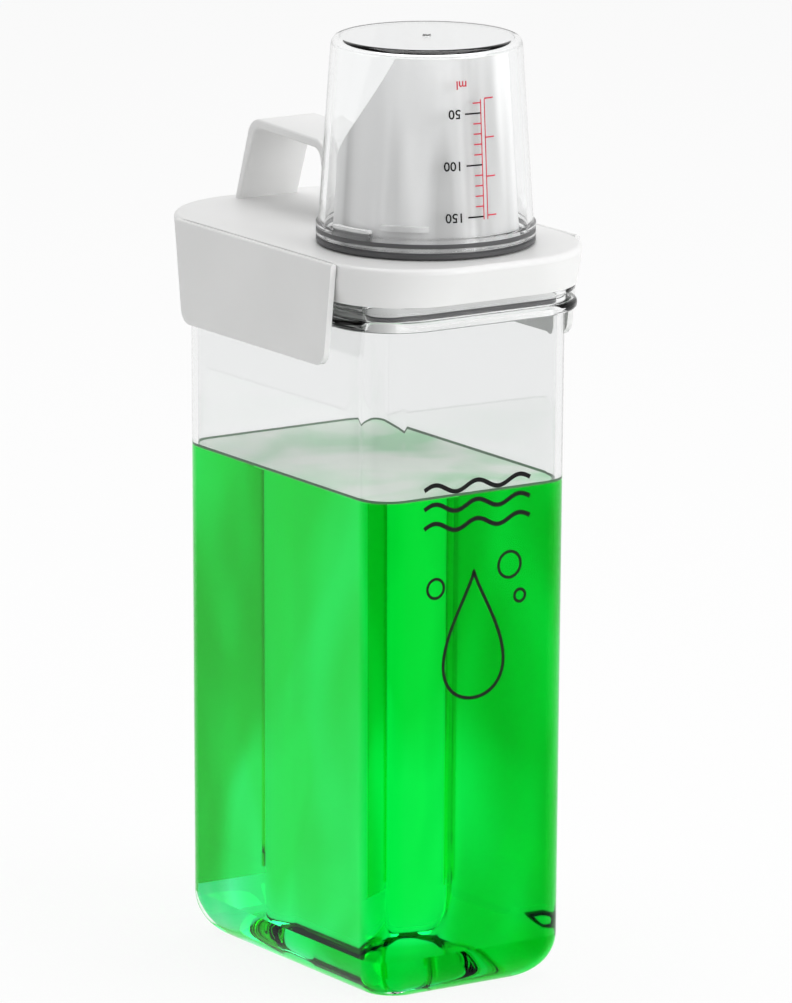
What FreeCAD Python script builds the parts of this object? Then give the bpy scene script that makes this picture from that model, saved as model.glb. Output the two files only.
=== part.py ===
import FreeCAD, Part
import math
import os
from FreeCAD import Vector

# Detergent dispenser bottle with lock-flap lid, pour spout and measuring cup.
# Millimetres. Origin at the middle of the base, +Z up, +X towards the pouring end.

# Bottle
body_length = 114.8
body_width = 73.4
corner_radius = 10.0
base_round_height = 14.5
base_round_inset = 11.0
base_round_steps = 4
wall = 2.2
floor_thickness = 3.0
wall_draft = 1.25
rim_top = 226.6
lip_height = 2.2
lip_reach = 5.3
rim_groove = 2.6
groove_reach = 3.6
bead_height = 3.3
bead_reach = 6.0
rim_corner_radius = 16.5
rim_round_share = 0.42
base_recess_inset = 6.0
base_recess_depth = 1.2
base_recess_bevel = 0.7

# Contents
fill_level = 163.2
fill_clearance = 0.15

# Lid
lid_gap = 0.3
lid_low_length = 134.0
lid_low_width = 87.0
lid_low_radius = 25.5
lid_length = 144.0
lid_width = 92.0
lid_radius = 33.7
lid_height = 12.6
lid_plate = 2.6
lid_wall = 2.2
lid_edge_round = 1.6
lid_edge_band = 2.0
plug_clearance = 1.1
plug_wall = 1.6
plug_depth = 9.0
lid_rib_thickness = 1.6
lid_rib_height = 3.0

# Lid seal
seal_height = 3.0
seal_groove_depth = 0.9
seal_fit = 0.3
seal_seat = 0.05
seal_base_rise = 1.6
seal_lip_count = 2

# Lock flaps
flap_top_length = 92.0
flap_low_length = 83.0
flap_thickness = 2.0
flap_height = 33.2
flap_corner = 5.0
flap_head_share = 0.48
flap_face_gap = 1.1
flap_hinge_gap = 0.4
flap_end_room = 1.5
catch_height = 2.2
catch_drop = 1.0
catch_clearance = 0.3
catch_length = 70.0
grip_ridge_count = 3
grip_ridge_pitch = 2.4
grip_ridge_depth = 0.5
grip_ridge_length = 40.0

# Carry handle
handle_width = 22.5
handle_band = 3.0
handle_back = -66.5
handle_front = -8.6
handle_rise = 27.9
handle_back_lean = 9.3
handle_front_lean = 5.0
handle_top_slope = 1.4
handle_outer_bend = 7.0
handle_edge_round = 0.8
tang_width = 16.0
tang_thickness = 1.8
tang_clearance = 0.1

# Pour spout
spout_x = 28.4
spout_base_radius = 29.6
spout_lip_radius = 25.6
spout_rise = 62.5
spout_wall = 1.8
spout_flange_radius = 31.0
spout_flange_height = 1.5
spout_neck_radius = 24.4
spout_neck_clearance = 0.1
spout_neck_depth = 6.0
snap_ridge = 0.7
snap_ridge_height = 2.0
scoop_back_rise = 19.5
scoop_middle_rise = 39.5
scoop_lip_length = 11.0

# Measuring cup and its seal
cup_seal_gap = 0.3
cup_seal_height = 2.0
cup_seal_inner = 32.0
cup_seal_outer = 34.7
cup_rim_radius = 34.8
cup_rim_height = 4.4
cup_rim_groove = 0.7
cup_rim_foot = 1.2
cup_groove_height = 1.6
cup_rim_slope = 0.5
cup_low_radius = 34.0
cup_high_radius = 30.1
cup_wall = 1.9
cup_height = 63.0
cup_top_round = 2.6
cup_gate_radius = 1.3
cup_gate_height = 0.5

# Bayonet between cup and spout
bayonet_count = 2
lug_angle = -80.0
lug_span = 28.0
lug_height = 4.4
lug_reach = 1.7
lug_lift = 1.2
hook_turn = 34.0
hook_height = 1.6
hook_reach_gap = 0.35
hook_drop_gap = 0.4

# Heights and places that follow from the sizes above
lid_bottom = rim_top + lid_gap
lid_top = lid_bottom + lid_height
plate_under = lid_top - lid_plate
plug_bottom = lid_bottom - plug_depth
bead_top = rim_top - lip_height - rim_groove
bead_bottom = bead_top - bead_height
bead_half_width = body_width / 2 + wall_draft + bead_reach
flap_inner = bead_half_width + flap_face_gap
flap_bottom = lid_top - flap_height
cup_seal_bottom = lid_top + cup_seal_gap
cup_bottom = cup_seal_bottom + cup_seal_height + cup_seal_gap
cup_top = cup_bottom + cup_height
spout_top = lid_top + spout_rise

UP = Vector(0, 0, 1)


def rounded_rectangle(length, width, radius, z):
    """Closed wire of four lines and four quarter arcs, centred on the Z axis."""
    x = length / 2
    y = width / 2
    edges = []
    for quarter in range(4):
        turn = math.pi / 2 * quarter
        sign_x = 1 if quarter in (0, 3) else -1
        sign_y = 1 if quarter in (0, 1) else -1
        centre = Vector(sign_x * (x - radius), sign_y * (y - radius), z)
        circle = Part.Circle(centre, UP, radius)
        edges.append(Part.ArcOfCircle(circle, turn, turn + math.pi / 2).toShape())
    wire_edges = []
    for quarter in range(4):
        here = edges[quarter]
        after = edges[(quarter + 1) % 4]
        wire_edges.append(here)
        start = here.valueAt(here.LastParameter)
        end = after.valueAt(after.FirstParameter)
        wire_edges.append(Part.LineSegment(start, end).toShape())
    return Part.Wire(wire_edges)


def rounded_block(length, width, radius, z_low, z_high):
    """Upright prism over a rounded rectangle."""
    face = Part.Face(rounded_rectangle(length, width, radius, z_low))
    return face.extrude(Vector(0, 0, z_high - z_low))


def tapered_block(low, high, z_low, z_high):
    """Ruled solid between two rounded rectangles given as (length, width, radius)."""
    wires = [rounded_rectangle(*low, z_low), rounded_rectangle(*high, z_high)]
    return Part.makeLoft(wires, True, True)


def edges_at_height(solid, z):
    """Edges that lie wholly at one height."""
    return [e for e in solid.Edges
            if abs(e.BoundBox.ZMin - z) < 1e-4 and abs(e.BoundBox.ZMax - z) < 1e-4]


def body_section(z, offset):
    """Size (length, width, radius) of the drafted bottle wall at a height, moved out by an offset."""
    grow = 2 * (wall_draft * z / rim_top + offset)
    return (body_length + grow, body_width + grow, corner_radius + grow / 2)


def body_block(offset, z_low, z_high):
    """Block within the bottle's outline moved out by an offset, with its foot rounded in steps."""
    wires = []
    for step in range(base_round_steps + 1):
        turn = math.pi / 2 * step / base_round_steps
        z = z_low + (base_round_height - z_low) * (1 - math.cos(turn))
        inset = base_round_inset * (1 - math.sin(turn))
        length, width, radius = body_section(z, offset)
        wires.append(rounded_rectangle(length - 2 * inset, width - 2 * inset, radius, z))
    wires.append(rounded_rectangle(*body_section(z_high, offset), z_high))
    return Part.makeLoft(wires, True, True)


def rim_section(reach):
    """Size (length, width, radius) of the mouth's outline at a reach beyond the wall."""
    length, width, _ = body_section(rim_top, reach)
    return (length, width, rim_corner_radius + reach)


def rim_ring(reach, z_low, z_high, edge_round):
    """Solid band round the mouth, with rounded outer edges."""
    band = rounded_block(*rim_section(reach), z_low, z_high)
    rims = edges_at_height(band, z_low) + edges_at_height(band, z_high)
    return band.makeFillet(edge_round, rims)


def revolve_profile(points, centre_x):
    """Solid of revolution of an (r, z) outline about an upright axis at centre_x."""
    corners = [Vector(centre_x + r, 0, z) for r, z in points]
    face = Part.Face(Part.makePolygon(corners + corners[:1]))
    return face.revolve(Vector(centre_x, 0, 0), UP, 360)


def ring_sector(r_low, r_high, z_low, z_high, angle, span, centre_x):
    """Block bent along a ring, centred on an angle in degrees."""
    outline = [(r_low, z_low), (r_high, z_low), (r_high, z_high), (r_low, z_high)]
    corners = [Vector(centre_x + r, 0, z) for r, z in outline]
    face = Part.Face(Part.makePolygon(corners + corners[:1]))
    face.rotate(Vector(centre_x, 0, 0), UP, angle - span / 2)
    return face.revolve(Vector(centre_x, 0, 0), UP, span)


def make_bottle_body():
    shell = body_block(0, 0, rim_top)
    bead = rim_ring(bead_reach, bead_bottom, bead_top, bead_height * rim_round_share)
    neck = rounded_block(*rim_section(groove_reach), bead_bottom + bead_height / 2,
                         rim_top - lip_height / 2)
    lip = rim_ring(lip_reach, rim_top - lip_height, rim_top, lip_height * rim_round_share)
    shell = shell.fuse([bead, neck, lip])
    cavity = body_block(-wall, floor_thickness, rim_top)
    foot_length = body_length - 2 * (base_round_inset + base_recess_inset)
    foot_width = body_width - 2 * (base_round_inset + base_recess_inset)
    foot_radius = corner_radius - base_recess_inset / 2
    recess = rounded_block(foot_length, foot_width, foot_radius, 0, base_recess_depth)
    recess = recess.makeChamfer(base_recess_bevel, edges_at_height(recess, base_recess_depth))
    return shell.cut([cavity, recess]).removeSplitter()


def make_detergent_fill():
    return body_block(-wall - fill_clearance, floor_thickness + fill_clearance, fill_level)


def plug_section(inset):
    """Plan of the lid's plug ring, inset from the mouth of the bottle."""
    return body_section(rim_top, -wall - plug_clearance - inset)


def flap_bays():
    """Room along both long sides of the lid where the lock flaps hang."""
    bays = []
    inner = flap_inner - flap_hinge_gap
    for side in (-1, 1):
        low_y = min(side * inner, side * lid_width)
        bay = Part.makeBox(flap_top_length + 2 * flap_end_room, lid_width - inner, lid_height + lid_gap,
                           Vector(-flap_top_length / 2 - flap_end_room, low_y, lid_bottom - lid_gap))
        bays.append(bay)
    return bays


def handle_tangs(clearance):
    """Upright tongues under the two feet of the handle, grown by a clearance."""
    tangs = []
    for middle_x in (handle_back + handle_band / 2, handle_front - handle_band / 2):
        tangs.append(Part.makeBox(tang_thickness + 2 * clearance, tang_width + 2 * clearance, lid_plate,
                                  Vector(middle_x - tang_thickness / 2 - clearance,
                                         -tang_width / 2 - clearance, plate_under)))
    return tangs


def make_lid_cover():
    low = (lid_low_length, lid_low_width, lid_low_radius)
    high = (lid_length, lid_width, lid_radius)
    band_low = lid_top - lid_edge_band
    band = rounded_block(*high, band_low, lid_top)
    band = band.makeFillet(lid_edge_round, edges_at_height(band, lid_top))
    cover = tapered_block(low, high, lid_bottom, band_low).fuse(band)
    inset_low = (lid_low_length - 2 * lid_wall, lid_low_width - 2 * lid_wall, lid_low_radius - lid_wall)
    hollow = rounded_block(*inset_low, lid_bottom, plate_under)
    cover = cover.cut([hollow] + flap_bays())
    plug = rounded_block(*plug_section(0), plug_bottom, plate_under)
    plug = plug.cut(rounded_block(*plug_section(plug_wall), plug_bottom, plate_under))
    groove_low = plug_bottom + seal_base_rise
    groove = rounded_block(*plug_section(-plug_clearance), groove_low, groove_low + seal_height)
    groove = groove.cut(rounded_block(*plug_section(seal_groove_depth), groove_low,
                                      groove_low + seal_height))
    ribs = []
    span = plug_section(plug_wall)[1]
    for rib_x in (handle_back / 2 + handle_front / 2, handle_front):
        ribs.append(Part.makeBox(lid_rib_thickness, span, lid_rib_height,
                                 Vector(rib_x - lid_rib_thickness / 2, -span / 2,
                                        plate_under - lid_rib_height)))
    cover = cover.fuse([plug.cut(groove)] + ribs)
    mouth = Part.makeCylinder(spout_neck_radius + spout_neck_clearance, lid_height,
                              Vector(spout_x, 0, plate_under - lid_rib_height), UP)
    return cover.cut([mouth] + handle_tangs(tang_clearance)).removeSplitter()


def make_lid_seal():
    low_z = plug_bottom + seal_base_rise + seal_seat
    height = seal_height - 2 * seal_seat
    base = rounded_block(*plug_section(-seal_groove_depth / 4), low_z, low_z + height)
    lip_pitch = height / seal_lip_count
    lip_thick = lip_pitch / 2
    reach = plug_section(seal_fit - plug_clearance)
    lips = []
    for index in range(seal_lip_count):
        lip_z = low_z + lip_pitch * index + (lip_pitch - lip_thick) / 2
        lips.append(rounded_block(*reach, lip_z, lip_z + lip_thick))
    seal = base.fuse(lips)
    bore = rounded_block(*plug_section(seal_groove_depth - seal_seat), low_z, low_z + height)
    return seal.cut(bore).removeSplitter()


def make_lock_flap(side):
    """Snap flap on one long side: side is -1 for -Y and 1 for +Y."""
    half_top = flap_top_length / 2
    half_low = flap_low_length / 2
    face_y = side * flap_inner
    corners = [Vector(-half_low, face_y, flap_bottom), Vector(half_low, face_y, flap_bottom),
               Vector(half_top, face_y, lid_top), Vector(-half_top, face_y, lid_top)]
    plate = Part.Face(Part.makePolygon(corners + corners[:1]))
    plate = plate.extrude(Vector(0, side * flap_thickness, 0))
    lower_ends = [e for e in plate.Edges
                  if e.BoundBox.ZMax < flap_bottom + 1e-4 and e.BoundBox.XLength < 1e-4]
    plate = plate.makeFillet(flap_corner, lower_ends)
    head = [e for e in edges_at_height(plate, lid_top) if e.BoundBox.XLength > flap_thickness]
    plate = plate.makeFillet(flap_thickness * flap_head_share, head)
    catch_tip = bead_half_width + catch_clearance
    catch_top = bead_bottom - catch_drop
    catch_y = min(side * catch_tip, side * flap_inner)
    catch = Part.makeBox(catch_length, flap_inner - catch_tip, catch_height,
                         Vector(-catch_length / 2, catch_y, catch_top - catch_height))
    ridges = []
    ridge_y = min(side * flap_inner, side * (flap_inner - grip_ridge_depth))
    for index in range(grip_ridge_count):
        ridge_z = flap_bottom + grip_ridge_pitch * (index + 0.5)
        ridges.append(Part.makeBox(grip_ridge_length, grip_ridge_depth, grip_ridge_pitch / 2,
                                   Vector(-grip_ridge_length / 2, ridge_y, ridge_z)))
    return plate.fuse([catch] + ridges).removeSplitter()


def make_carry_handle():
    top_back = Vector(handle_back + handle_back_lean, 0, lid_top + handle_rise)
    top_front = Vector(handle_front - handle_front_lean, 0, lid_top + handle_rise - handle_top_slope)
    outer = [Vector(handle_back, 0, lid_top), top_back, top_front, Vector(handle_front, 0, lid_top)]
    band = handle_band
    inner = [Vector(handle_back + band, 0, lid_top), top_back + Vector(band, 0, -band),
             top_front + Vector(-band, 0, -band), Vector(handle_front - band, 0, lid_top)]
    corners = outer + inner[::-1]
    arch = Part.Face(Part.makePolygon(corners + corners[:1])).extrude(Vector(0, handle_width, 0))
    arch.translate(Vector(0, -handle_width / 2, 0))

    def bend_edges(points):
        return [e for e in arch.Edges for p in points
                if e.BoundBox.YLength > handle_width / 2
                and abs(e.BoundBox.XMin - p.x) < 1e-4 and abs(e.BoundBox.ZMin - p.z) < 1e-4]

    outer_bends = bend_edges(outer[1:3])
    inner_bends = bend_edges(inner[1:3])
    arch = arch.makeFillet(handle_outer_bend, outer_bends)
    inner_bends = [e for e in arch.Edges for old in inner_bends if e.isSame(old) or
                   (e.CenterOfMass - old.CenterOfMass).Length < 1e-4]
    arch = arch.makeFillet(handle_outer_bend - band, inner_bends)
    side_edges = [e for e in arch.Edges if e.BoundBox.YLength < 1e-4 and e.BoundBox.ZMax > lid_top + 1e-3]
    arch = arch.makeFillet(handle_edge_round, side_edges)
    return arch.fuse(handle_tangs(0)).removeSplitter()


def scoop_cutter():
    """Everything above the curved mouth of the spout."""
    reach = spout_flange_radius * 2
    lip_back = spout_x + spout_lip_radius - scoop_lip_length
    low = Vector(spout_x - reach, -reach, lid_top + scoop_back_rise - spout_rise / 4)
    back = Vector(spout_x - spout_base_radius, -reach, lid_top + scoop_back_rise)
    middle = Vector(spout_x, -reach, lid_top + scoop_middle_rise)
    lip = Vector(lip_back, -reach, spout_top)
    above = Vector(lip_back, -reach, spout_top + reach)
    far = Vector(spout_x - reach, -reach, spout_top + reach)
    edges = [Part.LineSegment(low, back).toShape(), Part.Arc(back, middle, lip).toShape(),
             Part.LineSegment(lip, above).toShape(), Part.LineSegment(above, far).toShape(),
             Part.LineSegment(far, low).toShape()]
    return Part.Face(Part.Wire(edges)).extrude(Vector(0, 2 * reach, 0))


def cup_inner_radius(z):
    """Inside radius of the cup's wall at a height."""
    share = (z - cup_bottom - cup_rim_height) / (cup_height - cup_rim_height)
    return cup_low_radius + (cup_high_radius - cup_low_radius) * share - cup_wall


def lug_bottom():
    return cup_bottom + lug_lift


def make_pour_spout():
    neck_low = lid_top - spout_neck_depth
    ridge_top = plate_under - tang_clearance
    bore = spout_neck_radius - spout_wall
    flange_top = lid_top + spout_flange_height
    outline = [(bore, neck_low), (spout_neck_radius, neck_low),
               (spout_neck_radius + snap_ridge, ridge_top - snap_ridge_height / 2),
               (spout_neck_radius + snap_ridge, ridge_top), (spout_neck_radius, ridge_top),
               (spout_neck_radius, lid_top), (spout_flange_radius, lid_top),
               (spout_flange_radius, flange_top), (spout_base_radius, flange_top),
               (spout_lip_radius, spout_top), (spout_lip_radius - spout_wall, spout_top),
               (spout_base_radius - spout_wall, flange_top), (bore, lid_top)]
    spout = revolve_profile(outline, spout_x).cut(scoop_cutter())
    hook_low = lug_bottom() + lug_height + hook_drop_gap
    hook_high = hook_low + hook_height
    hook_outer = cup_inner_radius(hook_high) - hook_reach_gap
    hooks = []
    for index in range(bayonet_count):
        angle = lug_angle + hook_turn + 360 / bayonet_count * index
        hooks.append(ring_sector(spout_lip_radius, hook_outer, hook_low, hook_high,
                                 angle, lug_span, spout_x))
    inside = revolve_profile([(0, flange_top), (spout_base_radius - spout_wall, flange_top),
                              (spout_lip_radius - spout_wall, spout_top), (0, spout_top)], spout_x)
    return spout.fuse([hook.cut(inside) for hook in hooks]).removeSplitter()


def make_cup_seal():
    middle = (cup_seal_inner + cup_seal_outer) / 2
    chamfer = cup_seal_height / 4
    top = cup_seal_bottom + cup_seal_height
    outline = [(cup_seal_inner, cup_seal_bottom), (cup_seal_outer - chamfer, cup_seal_bottom),
               (cup_seal_outer, cup_seal_bottom + chamfer), (cup_seal_outer, top - chamfer),
               (cup_seal_outer - chamfer, top), (middle, top),
               (cup_seal_inner, top - chamfer)]
    return revolve_profile(outline, spout_x)


def make_measuring_cup():
    rim_top_z = cup_bottom + cup_rim_height
    groove_low = cup_bottom + cup_rim_foot
    groove_high = groove_low + cup_groove_height
    groove_radius = cup_rim_radius - cup_rim_groove
    inner_top = cup_top - cup_wall
    inner_high = cup_inner_radius(inner_top)
    outline = [(cup_inner_radius(cup_bottom), cup_bottom), (cup_rim_radius, cup_bottom),
               (cup_rim_radius, groove_low), (groove_radius, groove_low + cup_rim_slope),
               (groove_radius, groove_high - cup_rim_slope), (cup_rim_radius, groove_high),
               (cup_rim_radius, rim_top_z - cup_rim_slope), (cup_low_radius, rim_top_z),
               (cup_high_radius, cup_top), (0, cup_top), (0, inner_top), (inner_high, inner_top)]
    cup = revolve_profile(outline, spout_x)
    round_edges = [e for e in edges_at_height(cup, cup_top) if e.BoundBox.XLength > cup_high_radius]
    cup = cup.makeFillet(cup_top_round, round_edges)
    additions = [Part.makeCylinder(cup_gate_radius, cup_gate_height, Vector(spout_x, 0, cup_top), UP)]
    low = lug_bottom()
    high = low + lug_height
    for index in range(bayonet_count):
        angle = lug_angle + 360 / bayonet_count * index
        additions.append(ring_sector(cup_inner_radius(low) - lug_reach, cup_low_radius - cup_wall / 2,
                                     low, high, angle, lug_span, spout_x))
    return cup.fuse(additions).removeSplitter()


def build():
    return {
        "bottle_body": make_bottle_body(),
        "detergent_fill": make_detergent_fill(),
        "lid_cover": make_lid_cover(),
        "lid_seal": make_lid_seal(),
        "left_lock_flap": make_lock_flap(-1),
        "right_lock_flap": make_lock_flap(1),
        "carry_handle": make_carry_handle(),
        "pour_spout": make_pour_spout(),
        "cup_seal": make_cup_seal(),
        "measuring_cup": make_measuring_cup(),
    }


os.makedirs("parts", exist_ok=True)
for name, shape in build().items():
    solids = shape.Solids
    print(name, len(solids), "solids", round(shape.Volume), "mm3", "valid" if shape.isValid() else "INVALID")
    piece = solids[0] if len(solids) == 1 else Part.makeCompound(solids)
    piece.exportStep("parts/" + name + ".step")
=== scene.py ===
import math

import bpy
from mathutils import Matrix, Vector


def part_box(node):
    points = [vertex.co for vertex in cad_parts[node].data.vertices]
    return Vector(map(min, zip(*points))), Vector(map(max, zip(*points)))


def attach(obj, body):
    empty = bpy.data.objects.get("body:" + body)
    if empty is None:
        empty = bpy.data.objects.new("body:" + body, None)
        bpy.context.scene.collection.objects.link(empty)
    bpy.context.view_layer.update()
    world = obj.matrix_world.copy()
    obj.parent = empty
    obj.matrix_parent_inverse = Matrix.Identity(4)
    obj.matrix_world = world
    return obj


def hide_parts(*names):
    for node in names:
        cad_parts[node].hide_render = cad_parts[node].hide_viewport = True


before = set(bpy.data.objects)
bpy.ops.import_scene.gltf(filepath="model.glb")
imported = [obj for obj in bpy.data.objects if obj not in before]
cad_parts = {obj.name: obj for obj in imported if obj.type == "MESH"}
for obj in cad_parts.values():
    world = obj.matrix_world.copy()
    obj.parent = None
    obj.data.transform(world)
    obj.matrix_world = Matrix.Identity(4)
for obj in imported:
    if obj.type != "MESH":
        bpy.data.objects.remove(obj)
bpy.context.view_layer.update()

bl_info = {
    "name": "Detergent dispenser dressing",
    "version": (1, 0, 0),
    "blender": (4, 5, 0),
    "location": "View3D > Sidebar > Dispenser",
    "description": "Builds the clear bottle, cup, prints and finishes over the packed dispenser",
    "category": "Object",
}

FILL_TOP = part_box("detergent_fill")[1].z
CUP_LOW, CUP_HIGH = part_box("measuring_cup")
CUP_AXIS_X = (CUP_LOW.x + CUP_HIGH.x) / 2

# Refraction indices; faces that only part the liquid from its wall are neutral
PLASTIC_IOR = 1.49
FILLED_IOR = 1.36
RIM_IOR = 1.25
BASE_IOR = 1.2
NEUTRAL_IOR = 1.0

# Ripple scale, haze and ripple depth of each clear finish
WALL_FLOW = (55.0, 0.012, 0.00006)
FILLED_FLOW = (18.0, 0.0, 0.00003)
STILL_FLOW = (55.0, 0.0, 0.0)
LIQUID_FLOW = (30.0, 0.0, 0.00002)
CUP_FLOW = (70.0, 0.012, 0.00004)
LUG_FLOW = (300.0, 0.7, 0.0001)

# Gloss, grain scale and grain depth of each opaque finish
LID_GRAIN = (0.3, 1800.0, 0.00003)
FLAP_GRAIN = (0.42, 1800.0, 0.00004)
SPOUT_GRAIN = (0.4, 1800.0, 0.00003)
SEAL_GRAIN = (0.4, 900.0, 0.00004)
BAND_GRAIN = (0.4, 900.0, 0.00003)
HIGHLIGHT_RIB_GRAIN = (0.2, 900.0, 0.00002)
INK_GRAIN = (0.5, 2500.0, 0.00001)
FILM_GRAIN = (0.25, 1200.0, 0.00004)

LIQUID_DENSITY = 60.0
DULL_SPECULAR = 0.1
WHITE = (1.0, 1.0, 1.0, 1.0)
WHITE_SHARE = 0.9
BOUNCES = 32

# Straight wall starts this far above the base's rounding
WALL_START = 0.001


def length(label, default, description):
    """Length in metres that a user can change."""
    return bpy.props.FloatProperty(name=label, description=description, default=default,
                                   unit="LENGTH", precision=5)


def colour(label, default, description):
    """Colour that a user can change."""
    return bpy.props.FloatVectorProperty(name=label, description=description, default=default,
                                         size=4, subtype="COLOR", min=0.0, max=1.0)


class BottleSizes(bpy.types.PropertyGroup):
    """Sizes of the clear bottle."""
    half_length: length("Half length", 0.0574, "Half of the bottle's length at its base")
    half_width: length("Half width", 0.0367, "Half of the bottle's width at its base")
    corner: length("Corner", 0.01, "Radius of the upright corners at the base")
    draft: length("Draft", 0.00125, "How far each wall leans out between base and rim")
    base_height: length("Base round height", 0.0145, "Height of the rounding between base and walls")
    base_inset: length("Base round inset", 0.011, "How far the rounding draws the base in")
    rim_corner: length("Rim corner", 0.0165, "Radius of the mouth's corners before the rings' reach")
    wall: length("Wall", 0.0022, "Thickness of the walls")
    floor: length("Floor", 0.003, "Thickness of the base")
    rim_top: length("Rim height", 0.2266, "Height of the rim above the base")
    lip_height: length("Lip height", 0.0022, "Height of the upper rim ring")
    lip_reach: length("Lip reach", 0.0053, "How far the upper rim ring stands out")
    groove: length("Groove", 0.0026, "Height of the groove between the rim rings")
    groove_reach: length("Groove reach", 0.0036, "How far the floor of the groove stands out")
    bead_height: length("Bead height", 0.0033, "Height of the lower rim ring")
    bead_reach: length("Bead reach", 0.006, "How far the lower rim ring stands out")
    recess_inset: length("Recess inset", 0.006, "Width of the standing ring on the base")
    recess_depth: length("Recess depth", 0.0012, "Depth of the hollow under the base")


class LiquidSizes(bpy.types.PropertyGroup):
    """Sizes of the detergent in the bottle."""
    level: length("Level", FILL_TOP, "Height of the liquid's surface")
    wetting: length("Wetting", 0.0001, "How far the liquid's skin lies in the wetted wall")
    meniscus: length("Meniscus", 0.0009, "How far the surface climbs at the walls")
    film_gap: length("Film gap", 0.0002, "Gap between the liquid's surface and the froth film")
    film: length("Film", 0.0002, "Thickness of the froth film")


class CupSizes(bpy.types.PropertyGroup):
    """Sizes of the clear measuring cup."""
    rim_radius: length("Rim radius", 0.0348, "Outer radius of the rim")
    rim_height: length("Rim height", 0.0044, "Height of the rim")
    rim_foot: length("Rim foot", 0.0012, "Height of the rim's lowest ring")
    groove_height: length("Groove height", 0.0016, "Height of the groove in the rim")
    groove_depth: length("Groove depth", 0.0007, "Depth of the groove in the rim")
    low_radius: length("Low radius", 0.034, "Outer radius of the wall above the rim")
    high_radius: length("High radius", 0.0301, "Outer radius of the wall at the top")
    wall: length("Wall", 0.0019, "Thickness of the wall")
    top: length("Top", CUP_HIGH.z - 0.0005, "Height of the closed top")
    top_round: length("Top round", 0.0026, "Radius of the outer top edge")
    gate_radius: length("Gate radius", 0.0013, "Radius of the moulding mark on the top")
    gate_height: length("Gate height", 0.0005, "Height of the moulding mark on the top")
    band_gap: length("Band gap", 0.0001, "Gap round the dark band in the rim's groove")
    lug_height: length("Lug height", 0.0044, "Height of each locking lug")
    lug_reach: length("Lug reach", 0.0017, "How far each lug stands in from the wall")
    lug_root: length("Lug root", 0.0004, "How far each lug runs into the wall")
    lug_rib: length("Lug rib", 0.001, "Height of the rib along each lug's top")
    lug_lift: length("Lug lift", 0.0012, "Height of the lugs above the rim's lower face")
    lug_angle: bpy.props.FloatProperty(name="Lug angle", description="Direction of the first lug",
                                       default=math.radians(-80), subtype="ANGLE")
    lug_span: bpy.props.FloatProperty(name="Lug span", description="Angle that each lug covers",
                                      default=math.radians(28), subtype="ANGLE")


class PrintSizes(bpy.types.PropertyGroup):
    """Sizes of the prints on cup and bottle."""
    lift: length("Lift", 0.00003, "Gap between a print and the wall under it")
    ink: length("Ink", 0.00005, "Thickness of the printed ink")
    tick_line: length("Tick line", 0.00042, "Width of the scale's lines")
    figure_height: length("Figure height", 0.0041, "Height of the scale's figures")
    front_line: length("Front line", 0.0011, "Width of the lines on the bottle's front")


class FinishColours(bpy.types.PropertyGroup):
    """Colours of the finishes."""
    white: colour("White plastic", (0.83, 0.83, 0.825, 1.0), "Lid, flaps and handle")
    # Painted shade: the dark tone of the spout's upright bands, in place of the shading across its round
    # side.
    spout_shade: colour("White spout shade", (0.44, 0.44, 0.44, 1.0), "Darker flow streaks in the spout")
    spout: colour("White spout", (0.8, 0.8, 0.8, 1.0), "Pour spout")
    shade: colour("White shade", (0.74, 0.74, 0.735, 1.0), "Slow tone changes in the white plastic")
    clear: colour("Clear plastic", (0.91, 0.915, 0.915, 1.0), "Bottle")
    clear_rim: colour("Clear rim plastic", (0.97, 0.975, 0.975, 1.0), "Rim rings of the bottle")
    clear_cup: colour("Clear cup plastic", (0.98, 0.985, 0.985, 1.0), "Measuring cup")
    # Partly painted shade: the grey tint darkens each lug in place of the shade seen under its rib; the
    # frosting is the lug's own.
    clear_lug: colour("Frosted lug plastic", (0.5, 0.505, 0.505, 1.0), "Locking lugs of the cup")
    # Painted shade: a dark band laid in the rim's groove stands in for the dark line seen through the
    # clear rim.
    band: colour("Rim band", (0.1, 0.1, 0.102, 1.0), "Dark band in the groove of the cup's rim")
    # Painted highlight: the opaque near-white top strip of each lug stands in for the gleam along its
    # clear rib.
    rib: colour("Lug rib plastic", (0.95, 0.95, 0.95, 1.0), "Ribs on the cup's lugs")
    wet: colour("Wetted plastic", (0.99, 1.0, 0.99, 1.0), "Inside of the bottle below the liquid's level")
    gleam: colour("Filled wall gleam", (0.02, 0.6, 0.2, 1.0), "Tint of reflections on the filled wall")
    deep: colour("Detergent deep", (0.05, 0.7, 0.26, 1.0), "Tint of the liquid's deeper swirls")
    light: colour("Detergent light", (0.97, 1.0, 0.98, 1.0), "Tint of the liquid's lighter swirls")
    # Painted reflection: the film's colours stand in for the pale look of the liquid's surface.
    film: colour("Film", (0.26, 0.68, 0.34, 1.0), "Froth film on the liquid")
    film_light: colour("Film light", (0.78, 0.88, 0.78, 1.0), "Paler parts of the froth film")
    # Painted shade: an opaque dark green on the meniscus stands in for the dark line at the liquid's edge.
    edge: colour("Liquid edge", (0.004, 0.07, 0.014, 1.0), "Dark line where the liquid meets the wall")
    depth: colour("Detergent depth", (0.02, 0.98, 0.62, 1.0), "Light that gets through the liquid")
    silicone: colour("Silicone", (0.05, 0.05, 0.052, 1.0), "Seal rings")
    black: colour("Black ink", (0.004, 0.004, 0.004, 1.0), "Figures and front print")
    red: colour("Red ink", (0.5, 0.03, 0.05, 1.0), "Lines of the cup's scale")
    floor: colour("Floor", (0.9, 0.9, 0.9, 1.0), "Studio floor")


def sizes_of(group):
    """Sizes or colours of a group, as set on the scene."""
    return getattr(bpy.context.scene, "dispenser_" + group)


# Paths, rings and swept skins

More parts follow.
